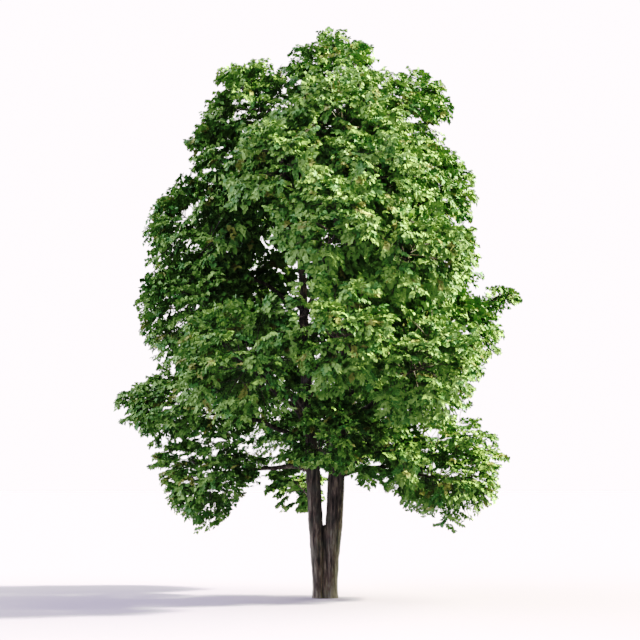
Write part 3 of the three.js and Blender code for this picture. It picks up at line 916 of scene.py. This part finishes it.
# %% Side twigs
TWIGS = 8
TWIG_PLACES = (0.10, 0.62)
TWIG_ANGLE = math.radians(54)
TWIG_ANGLE_VARIES = (0.75, 1.2)
TWIG_CHANCE = 0.24
TWIG_LENGTH = (0.62, -0.40)
TWIG_LENGTH_VARIES = (0.8, 1.15)


def on_spray(share):
    """Points on the axes of the sprays."""
    ahead = spray_way[:, None] * (share * spray_long[:, None])[..., None]
    return spray_roots[:, None] + ahead - up * (share**2 * spray_sag[:, None])[..., None]


def in_turn(count):
    """1 and -1 in turn, for left and right, and 0 for the last, which goes straight on."""
    return np.where(np.arange(count) % 2 == 0, 1.0, -1.0) * (np.arange(count) < count - 1)


twig_share = np.broadcast_to(np.linspace(*TWIG_PLACES, TWIGS), (len(spray_roots), TWIGS))
twig_roots = on_spray(twig_share)
angle = (TWIG_ANGLE * in_turn(TWIGS))[None, :] * rng.uniform(*TWIG_ANGLE_VARIES, twig_share.shape)
sag_way = up * (2 * twig_share * (spray_sag / spray_long)[:, None])[..., None]
twig_way = np.cos(angle)[..., None] * spray_way[:, None] + np.sin(angle)[..., None] * spray_side[:, None]
twig_way = unit(twig_way - sag_way + rng.normal(0, TWIG_CHANCE, twig_way.shape))
twig_long = spray_long[:, None] * graded(TWIG_LENGTH, twig_share)
twig_long = twig_long * rng.uniform(*TWIG_LENGTH_VARIES, twig_share.shape)
print("side twigs:", twig_long.size)

# %% [markdown]
# Leaves. Each twig bears leaves to the left and right in turn and one at its end. The blade hangs a
# little and turns its upper side to the light, partly as its spray lies, partly to the sky and the open
# air. In the shade inside the crown leaves grow larger.

# %% Places of the leaves
LEAVES = 12
LEAF_PLACES = (0.12, 1.0)
TWIG_SAG = 0.12
LEAF_WAY = {"ahead": 0.62, "aside": 0.85, "chance": 0.16}
LEAF_DROOP = (0.10, 0.75)
DROOP_GAIN = (1, 0.3)
LEAF_TILT = (0.46, 0.16)
LEAF_FACE = {"spray": 0.6, "up": (0.60, -0.25), "air": (0.14, 0.38)}
LEAF_LENGTH = (0.042, 0.062)
SHADE_LEAF = {"depth": (0.4, 0.85), "growth": (1.6, 1.0)}


def hang(lengths, shares):
    """How far a twig's points lie under its straight line."""
    return TWIG_SAG * lengths * shares**2


leaf_share = np.linspace(*LEAF_PLACES, LEAVES)
leaf_run = twig_long[..., None] * leaf_share
joints = twig_roots[..., None, :] + twig_way[..., None, :] * leaf_run[..., None]
joints = joints - up * hang(twig_long[..., None], leaf_share)[..., None]
shape = joints.shape[:3]
face = np.broadcast_to(spray_face[:, None, None], joints.shape)
ahead = np.broadcast_to(twig_way[:, :, None], joints.shape)
aside = np.cross(ahead, face) * in_turn(LEAVES)[:, None]
leaf_high = np.broadcast_to(spray_high[:, :, None, None], (*shape, 1))
droop = rng.uniform(*LEAF_DROOP, (*shape, 1)) * graded(DROOP_GAIN, leaf_high)
leaf_way = LEAF_WAY["ahead"] * ahead + LEAF_WAY["aside"] * aside - up * droop
leaf_way = unit(leaf_way + rng.normal(0, LEAF_WAY["chance"], joints.shape))
tilt = rng.normal(0, 1, joints.shape) * graded(LEAF_TILT, leaf_high)
leaf_face = LEAF_FACE["spray"] * face + up * graded(LEAF_FACE["up"], leaf_high)
leaf_face = leaf_face + out_of_crown(joints) * graded(LEAF_FACE["air"], leaf_high)
leaf_face = square_to(leaf_face + tilt, leaf_way)
leaf_size = rng.uniform(*LEAF_LENGTH, shape)
leaf_size = leaf_size * np.interp(depth_share(joints), SHADE_LEAF["depth"], SHADE_LEAF["growth"])
print("places for leaves:", leaf_size.size)

# %% [markdown]
# Each leaf stands off its twig on a short stalk. From here on the leaves are one long list, and each
# knows its spray and its mass.

# %% Stalks
STALK = 0.010
STALK_VARIES = (0.8, 1.3)
STALK_RISE = (0.1, 0.5)

leaf_spray = np.broadcast_to(np.arange(shape[0])[:, None, None], shape).ravel()
leaf_owner = spray_owner[leaf_spray]
joints, leaf_way, leaf_face = (a.reshape(-1, 3) for a in (joints, leaf_way, leaf_face))
leaf_size = leaf_size.ravel()
stalk_way = unit(leaf_way + up * rng.uniform(*STALK_RISE, (len(joints), 1)))
leaf_feet = joints + stalk_way * (STALK * rng.uniform(*STALK_VARIES, (len(joints), 1)))
leaf_middles = leaf_feet + leaf_way * (leaf_size[:, None] / 2)
print("mean leaf:", round(float(leaf_size.mean()) / MM), "mm long")

# %% [markdown]
# A leaf that would leave its mass's space, stand in another mass or touch a limb is skipped, as in the
# rule of the solids. Where masses meet, their outsides are blended, so that no slit is left between them:
# the nearness to all bodies is added up, and counts as one body.

# %% Room for a leaf
SEAM = 6.0
LIMB_CLEAR = 0.012
LIMB_NEAR = 0.15


def share_of_crown(points):
    """As share_of_body, but less where the bodies of neighbours come near, so that seams close."""
    nearness = np.zeros(len(points))
    for mass in range(len(middles)):
        nearness += np.exp(-SEAM * share_of_body(points, mass))
    return -np.log(nearness) / SEAM


def limb_segments():
    """Starts, ends and radii of straight stretches along every stem and bough."""
    stem_lines = [(rows[:, [1, 2, 0]], rows[:, 3]) for rows in STATIONS.values()]
    lines = [*stem_lines, *limb_lines.values()]
    starts = np.concatenate([line[:-1] for line, _ in lines])
    ends = np.concatenate([line[1:] for line, _ in lines])
    return starts, ends, np.concatenate([radii[:-1] for _, radii in lines])


def clear_of_limbs(points):
    """Whether points stand clear of every limb."""
    clear = np.ones(len(points), bool)
    for start, end, radius in zip(*limb_segments()):
        reach = np.abs(end - start) / 2 + LIMB_NEAR
        near = np.nonzero((np.abs(points - (start + end) / 2) < reach).all(1))[0]
        along = end - start
        share = np.clip((points[near] - start) @ along / (along @ along), 0, 1)
        gap = np.linalg.norm(points[near] - start - share[:, None] * along, axis=1)
        clear[near[gap < radius + LIMB_CLEAR]] = False
    return clear


print("stretches of limb:", len(limb_segments()[0]))

# %% [markdown]
# More leaves are skipped as a real crown loses them: where the sky shows through, in front of hollows in
# which limbs are seen, below the crown's hem, which rises to the trunk, and in the deep shade inside. The
# gaps and hollows are ovals in the upright plane of the trunk, as the camera sees them: a middle and two
# half widths, in millimetres. The hem is a line in that plane.

# %% Gaps, hollows, hem and shade
SKY_GAPS = [
    (-860, 4720, 150, 90), (-640, 4560, 170, 80), (-830, 2040, 420, 120),
    (2250, 4330, 190, 90), (2700, 3990, 230, 90),
]
HOLLOWS = [(-420, 4600, 520, 240), (-290, 3950, 100, 420), (-600, 2780, 340, 560)]
HEM = [
    (-2200, 900), (-1950, 800), (-1580, 1040), (-950, 1580), (-740, 1200), (-60, 1220), (60, 1500),
    (420, 1640), (830, 1400), (1110, 1130), (1570, 1200), (1810, 1080), (2020, 870), (2300, 1150),
]
SHADE = {"depth": (0.30, 0.72), "kept": (0.35, 1)}


def seen_from_camera(points):
    """Where the camera's line of sight through each point meets the upright plane of the trunk."""
    eye = np.array(CAMERA_AT)
    share = eye[1] / (eye[1] - points[:, 1])
    return eye[0] + share * (points[:, 0] - eye[0]), eye[2] + share * (points[:, 2] - eye[2])


def in_ovals(points, ovals):
    """Whether points are seen inside one of the ovals."""
    seen_x, seen_z = seen_from_camera(points)
    inside = np.zeros(len(points), bool)
    for x, z, half_x, half_z in np.array(ovals) * MM:
        inside |= ((seen_x - x) / half_x) ** 2 + ((seen_z - z) / half_z) ** 2 < 1
    return inside


def below_hem(points, slack):
    """Whether points lie lower than the crown's hem, give or take some slack."""
    seen_x, seen_z = seen_from_camera(points)
    hem_x, hem_z = np.array(HEM).T * MM
    return seen_z < np.interp(seen_x, hem_x, hem_z) + slack


def in_light(points):
    """The chance that a leaf is kept, which falls towards the deep shade inside the crown."""
    return np.interp(depth_share(points), SHADE["depth"], SHADE["kept"])


print("ovals:", len(SKY_GAPS), "gaps and", len(HOLLOWS), "hollows")

# %% [markdown]
# Now all the rules are put together. Some chances are drawn for a whole spray, so that sprays are kept or
# lost as one and the crown's outside is ragged by the spray and not by the leaf. A mass with little room
# keeps fewer leaves, or it would be a dense dark lump.

# %% The leaves that are kept
OUTSIDE = (0.87, 1.05)
GAP_SHARE = 0.6
HOLLOW_FRONT = -0.35
HOLLOW_SHARE = 0.75
HEM_UNEVEN = 0.14
ROOMY_MASS = 0.5

spray_limit = rng.uniform(*OUTSIDE, len(spray_roots))
kept = share_of_crown(leaf_middles) < spray_limit[leaf_spray]
kept &= in_own_cell(leaf_middles, leaf_owner)
kept &= clear_of_limbs(leaf_middles)
kept &= ~(in_ovals(leaf_middles, SKY_GAPS) & (rng.random(len(kept)) < GAP_SHARE))
in_hollow = in_ovals(leaf_middles, HOLLOWS)
in_front = leaf_middles[:, 1] < HOLLOW_FRONT
spray_lost = rng.random(len(spray_roots)) < HOLLOW_SHARE
kept &= ~(in_hollow & in_front & spray_lost[leaf_spray])
spray_slack = rng.normal(0, HEM_UNEVEN, len(spray_roots))
kept &= ~below_hem(leaf_middles, spray_slack[leaf_spray])
room = np.minimum((sizes[leaf_owner] / ROOMY_MASS) ** 2, 1)
light = np.where(in_hollow & ~in_front, 1, in_light(leaf_middles))
kept &= rng.random(len(kept)) < light * room
print("leaves:", int(kept.sum()), "of", len(kept))

# %% [markdown]
# Twigs are thousands of thin tapering tubes, far too many to draw one by one, so they are made straight
# from arrays: rings round every point of every path, joined by quads, all in one mesh.


# %% Meshes from arrays
def mesh_piece(name, corners, faces):
    """A mesh object from arrays of corners and of faces that all have the same number of corners."""
    mesh = bpy.data.meshes.new(name)
    mesh.vertices.add(len(corners))
    mesh.vertices.foreach_set("co", corners.astype(np.float32).ravel())
    mesh.loops.add(faces.size)
    mesh.loops.foreach_set("vertex_index", faces.astype(np.int32).ravel())
    mesh.polygons.add(len(faces))
    mesh.polygons.foreach_set("loop_start", np.arange(len(faces), dtype=np.int32) * faces.shape[1])
    mesh.polygons.foreach_set("use_smooth", np.ones(len(faces), bool))
    mesh.update(calc_edges=True)
    piece = bpy.data.objects.new(name, mesh)
    bpy.context.scene.collection.objects.link(piece)
    return piece


def tubes(paths, thick, thin, sides):
    """Corners and quads of tapering tubes along many paths of equally many points."""
    ways = unit(np.gradient(paths, axis=1))
    chord = np.abs(paths[:, -1] - paths[:, 0])
    guide = np.eye(3)[chord.argmin(1)][:, None]
    across = unit(np.cross(ways, guide))
    over = np.cross(ways, across)
    turn = np.arange(sides) * 2 * math.pi / sides
    ring = np.cos(turn)[:, None] * across[:, :, None] + np.sin(turn)[:, None] * over[:, :, None]
    many, steps = paths.shape[:2]
    corners = paths[:, :, None] + np.linspace(thick, thin, steps)[None, :, None, None] * ring
    number = np.arange(many * steps * sides).reshape(many, steps, sides)
    after = np.roll(number, -1, axis=2)
    quads = np.stack([number[:, :-1], after[:, :-1], after[:, 1:], number[:, 1:]], -1)
    return corners.reshape(-1, 3), quads.reshape(-1, 4)


def join_tubes(*parts):
    """Corners and quads of several sets of tubes as one."""
    corners, quads, start = [], [], 0
    for part_corners, part_quads in parts:
        corners.append(part_corners)
        quads.append(part_quads + start)
        start += len(part_corners)
    return np.concatenate(corners), np.concatenate(quads)


print("twigs to draw, at most:", twig_long.size)

# %% [markdown]
# A twig ends where its last leaf sits, a spray where its last twig leaves it, and a shoot where its last
# spray or side shoot does, so no bare ends stick out. What bears nothing is left out.

# %% Ends of twigs, sprays and shoots
FEWEST_LEAVES = 2


def last_used(used, shares):
    """The share of the way along a twig where the last thing that it bears sits."""
    return np.where(used, shares, 0.0).max(1)


kept_on_twig = kept.reshape(-1, LEAVES)
twig_used = kept_on_twig.sum(1) >= FEWEST_LEAVES
twig_end = last_used(kept_on_twig, leaf_share)[twig_used]
used_on_spray = twig_used.reshape(-1, TWIGS)
spray_used = used_on_spray.any(1)
spray_end = last_used(used_on_spray, twig_share)
used_on_shoot = spray_used.reshape(-1, SPRAYS)
shoot_used = used_on_shoot.any(1)
shoot_end = last_used(used_on_shoot, spray_shares[..., 0])
forks_used = shoot_used[mains:].reshape(FORKS, mains).any(0)
shoot_used[:mains] |= forks_used
shoot_end[:mains] = np.maximum(shoot_end[:mains], forks_used * FORK_FROM[1])
print("used:", int(twig_used.sum()), "twigs,", int(spray_used.sum()), "sprays")

# %% [markdown]
# Thickness goes down from shoot to twig, and so does the number of sides, because a twig of 2 mm is much
# thinner than a pixel. Shoots and axes of sprays are one piece, and the leafy twigs another.

# %% Branchlets and twigs
SHOOT_POINTS = 5
SPRAY_POINTS = 3
TWIG_POINTS = 2
SHOOT_TUBE = {"thick": 0.0085, "thin": 0.0035, "sides": 5}
SIDE_TUBE = {"thick": 0.0050, "thin": 0.0025, "sides": 4}
SPRAY_TUBE = {"thick": 0.0030, "thin": 0.0016, "sides": 3}
TWIG_TUBE = {"thick": 0.0018, "thin": 0.0007, "sides": 3}

shares = (np.linspace(0, 1, SHOOT_POINTS) * shoot_end[:, None])[..., None]
shoot_paths = bezier(shoot_roots[:, None], shoot_bends[:, None], shoot_tips[:, None], shares)
main_paths = shoot_paths[:mains][shoot_used[:mains]]
side_paths = shoot_paths[mains:][shoot_used[mains:]]
spray_paths = on_spray(np.linspace(0, 1, SPRAY_POINTS) * spray_end[:, None])[spray_used]
shares = np.linspace(0, 1, TWIG_POINTS) * twig_end[:, None]
lengths = twig_long.reshape(-1, 1)[twig_used]
twig_paths = twig_roots.reshape(-1, 1, 3)[twig_used]
twig_paths = twig_paths + twig_way.reshape(-1, 1, 3)[twig_used] * (lengths * shares)[..., None]
twig_paths = twig_paths - up * hang(lengths, shares)[..., None]
branchlet_tubes = join_tubes(
    tubes(main_paths, **SHOOT_TUBE), tubes(side_paths, **SIDE_TUBE), tubes(spray_paths, **SPRAY_TUBE)
)
branchlets = mesh_piece("branchlets", *branchlet_tubes)
twigs = mesh_piece("twigs", *tubes(twig_paths, **TWIG_TUBE))
print("branchlets:", len(branchlets.data.polygons), "quads, twigs:", len(twigs.data.polygons), "quads")

# %% [markdown]
# Young twigs have a smooth skin, reddish brown and slightly glossy, so they get a finish of their own.

# %% Twig material
TWIG_BROWN = 0x43382E
TWIG_ROUGHNESS = 0.7

material, tree = new_material("young linden twig")
shader = add_node(
    tree, "ShaderNodeBsdfPrincipled", {"Base Color": linear(TWIG_BROWN), "Roughness": TWIG_ROUGHNESS}
)
finish_material(tree, shader)
for piece in (branchlets, twigs):
    put_on(piece, material)
print("twig material:", material.name)

# %% [markdown]
# The leaf itself: heart-shaped, nearly as broad as long, with a short point and a lopsided base, folded
# a little along its midrib so that its halves catch the light differently. Three triangles draw it, in a
# fan from its joint on the twig. It is drawn once, in its own measure, and arrays copy it everywhere.

# %% The shape of one leaf
BLADE = np.array([(0.45, 0.16, 0.09), (0.04, 1.00, -0.10), (-0.42, 0.46, 0.10), (-0.40, -0.02, 0.08)])
BLADE_FACES = np.array([(4, 0, 1), (4, 1, 2), (4, 2, 3)])
FOLD = (0.2, 1.8)


def leaf_mesh(name, chosen):
    """All chosen leaves as one mesh."""
    way, face = leaf_way[chosen], leaf_face[chosen]
    side = np.cross(way, face)
    size = leaf_size[chosen, None, None]
    fold = rng.uniform(*FOLD, (len(way), 1, 1))
    blade = BLADE[None, :, :1] * side[:, None] + BLADE[None, :, 1:2] * way[:, None]
    blade = blade + fold * BLADE[None, :, 2:] * face[:, None]
    blade = leaf_feet[chosen, None] + size * blade
    corners = np.concatenate([blade, joints[chosen, None]], 1)
    faces = BLADE_FACES[None] + (np.arange(len(way)) * corners.shape[1])[:, None, None]
    return mesh_piece(name, corners.reshape(-1, 3), faces.reshape(-1, 3))


print("triangles to a leaf:", len(BLADE_FACES))

# %% [markdown]
# No two branches of a linden are the same green: young growth is yellowish, old leaves in the shade are
# deep and bluish, and a few are already turning. The tints are dealt out to the small spray on each
# twig, each as a plain colour with the soft gloss of a leaf's wax. The gloss is held low, because a real
# blade is wavy and spreads it. The leaves of one tint are one joined piece.

# %% Tints and leaf pieces
TINTS = {
    "deep_green": (0x496632, 0.20),
    "cool_green": (0x4C6E3C, 0.10),
    "leaf_green": (0x5B763A, 0.23),
    "fresh_green": (0x698543, 0.23),
    "light_green": (0x77924D, 0.20),
    "olive": (0x787A43, 0.04),
}
LEAF_WAX = {"Roughness": 0.5, "Specular IOR Level": 0.09}

twig_tint = rng.choice(len(TINTS), len(kept_on_twig), p=[share for _, share in TINTS.values()])
leaf_tint = np.repeat(twig_tint, LEAVES)
leaf_pieces = []
for number, (name, (colour, _)) in enumerate(TINTS.items()):
    chosen = np.nonzero(kept & (leaf_tint == number))[0]
    piece = leaf_mesh(f"leaves_{name}", chosen)
    material, tree = new_material(f"linden leaf {name.replace('_', ' ')}")
    shader = add_node(tree, "ShaderNodeBsdfPrincipled", {"Base Color": linear(colour), **LEAF_WAX})
    finish_material(tree, shader)
    put_on(piece, material)
    leaf_pieces.append(piece)
    print(piece.name, len(chosen), "leaves,", len(piece.data.polygons), "triangles")

# %% [markdown]
# Last, the solids that the new pieces stand for are hidden, and each piece is tied to the frame's root.

# %% Tie the pieces to the frame
LIMB_NODES = [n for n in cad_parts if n.endswith("_bough")]
STEM_NODES = ["trunk", "left_leader", "right_leader"]
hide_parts(*STEM_NODES)
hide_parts(*LIMB_NODES)
for piece in (branchlets, twigs, *leaf_pieces):
    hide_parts(*MASSES)
for piece in (trunk, boughs, branchlets, twigs, *leaf_pieces):
    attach(piece, "root")
